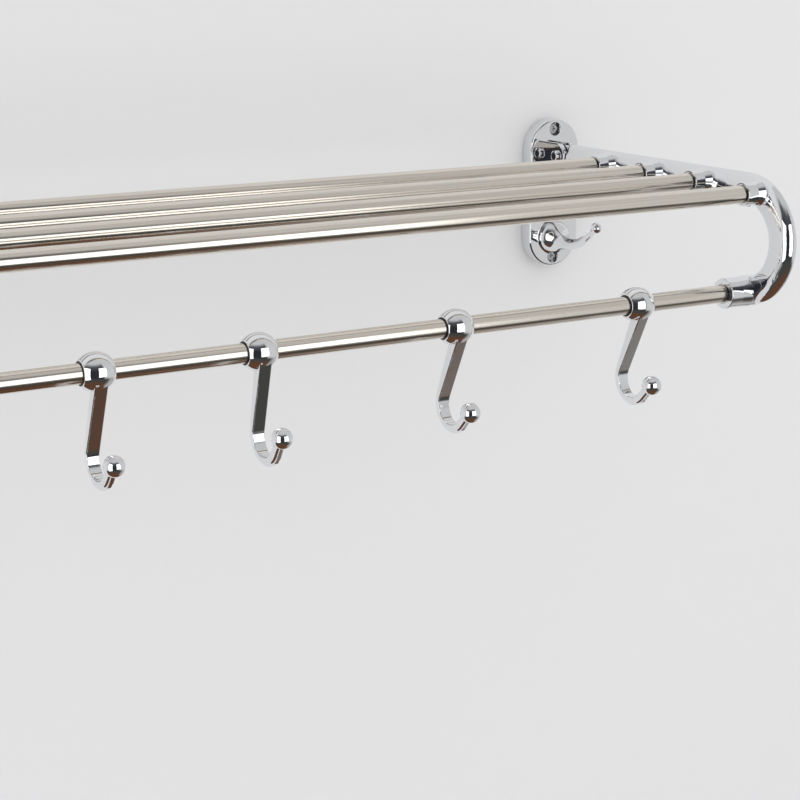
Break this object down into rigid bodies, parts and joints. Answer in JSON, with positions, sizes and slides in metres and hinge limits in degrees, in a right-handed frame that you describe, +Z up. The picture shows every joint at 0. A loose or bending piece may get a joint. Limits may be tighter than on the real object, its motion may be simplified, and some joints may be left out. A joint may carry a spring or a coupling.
{
  "type": "towel rack",
  "caption": "Wall-mounted folding towel rack with a tubular shelf, a lower hanging bar, sliding swivel hooks and hooks on its wall plates.",
  "frame": {"origin": "on the wall plane, at the centre of the rectangle of four wall screws, midway between the two wall plates", "axes": "+X along the tubes to the right as seen from the room, +Y into the wall, +Z up"},
  "size_m": [0.632, 0.3107, 0.1635],
  "materials": {
    "polished_chrome": "mirror-polished chrome plate on zinc castings",
    "tube_steel": "stainless tube, fine satin polish with drawing lines along its length",
    "liner_nylon": "black nylon, moulded",
    "hinge_chrome": "polished chrome",
    "washer_nylon": "natural nylon",
    "screw_steel": "bright stainless wood screw",
    "grub_steel": "darkened steel set screw"
  },
  "bodies": {
    "wall_mount": {"wall_plate_left": "polished_chrome", "wall_plate_right": "polished_chrome", "wall_screws": "screw_steel", "pivot_bolt_left": "hinge_chrome", "pivot_bolt_right": "hinge_chrome", "pivot_nuts": "hinge_chrome", "pivot_washers": "washer_nylon"},
    "rack": {"bracket_arm_left": "polished_chrome", "bracket_arm_right": "polished_chrome", "shelf_tube_front": "tube_steel", "shelf_tube_second": "tube_steel", "shelf_tube_third": "tube_steel", "shelf_tube_rear": "tube_steel", "hanging_bar": "tube_steel", "tube_grub_screws": "grub_steel"},
    "liner_1": {"hook_liner_1": "liner_nylon"},
    "hook_1": {"sliding_hook_1": "polished_chrome"},
    "liner_2": {"hook_liner_2": "liner_nylon"},
    "hook_2": {"sliding_hook_2": "polished_chrome"},
    "liner_3": {"hook_liner_3": "liner_nylon"},
    "hook_3": {"sliding_hook_3": "polished_chrome"},
    "liner_4": {"hook_liner_4": "liner_nylon"},
    "hook_4": {"sliding_hook_4": "polished_chrome"}
  },
  "joints": [
    {"name": "fold_up", "type": "hinge", "parent": "wall_mount", "child": "rack", "pos_m": [0, -0.0215, 0.0298], "axis": [-1, 0, 0], "range_deg": [0, 90]},
    {"name": "hook_1_slide", "type": "slide", "parent": "rack", "child": "liner_1", "axis": [1, 0, 0], "range_m": [-0.0801, 0.0408]},
    {"name": "hook_1_swing", "type": "hinge", "parent": "liner_1", "child": "hook_1", "pos_m": [-0.1802, -0.2379, -0.04], "axis": [1, 0, 0], "range_deg": [-132.5, 143.5]},
    {"name": "hook_2_slide", "type": "slide", "parent": "rack", "child": "liner_2", "axis": [1, 0, 0], "range_m": [-0.0408, 0.05805]},
    {"name": "hook_2_swing", "type": "hinge", "parent": "liner_2", "child": "hook_2", "pos_m": [-0.0792, -0.2379, -0.04], "axis": [1, 0, 0], "range_deg": [-125.1, 150.9]},
    {"name": "hook_3_slide", "type": "slide", "parent": "rack", "child": "liner_3", "axis": [1, 0, 0], "range_m": [-0.05805, 0.0607]},
    {"name": "hook_3_swing", "type": "hinge", "parent": "liner_3", "child": "hook_3", "pos_m": [0.0563, -0.2379, -0.04], "axis": [1, 0, 0], "range_deg": [-137, 139]},
    {"name": "hook_4_slide", "type": "slide", "parent": "rack", "child": "liner_4", "axis": [1, 0, 0], "range_m": [-0.0607, 0.0632]},
    {"name": "hook_4_swing", "type": "hinge", "parent": "liner_4", "child": "hook_4", "pos_m": [0.1971, -0.2379, -0.04], "axis": [1, 0, 0], "range_deg": [-137, 139]}
  ]
}
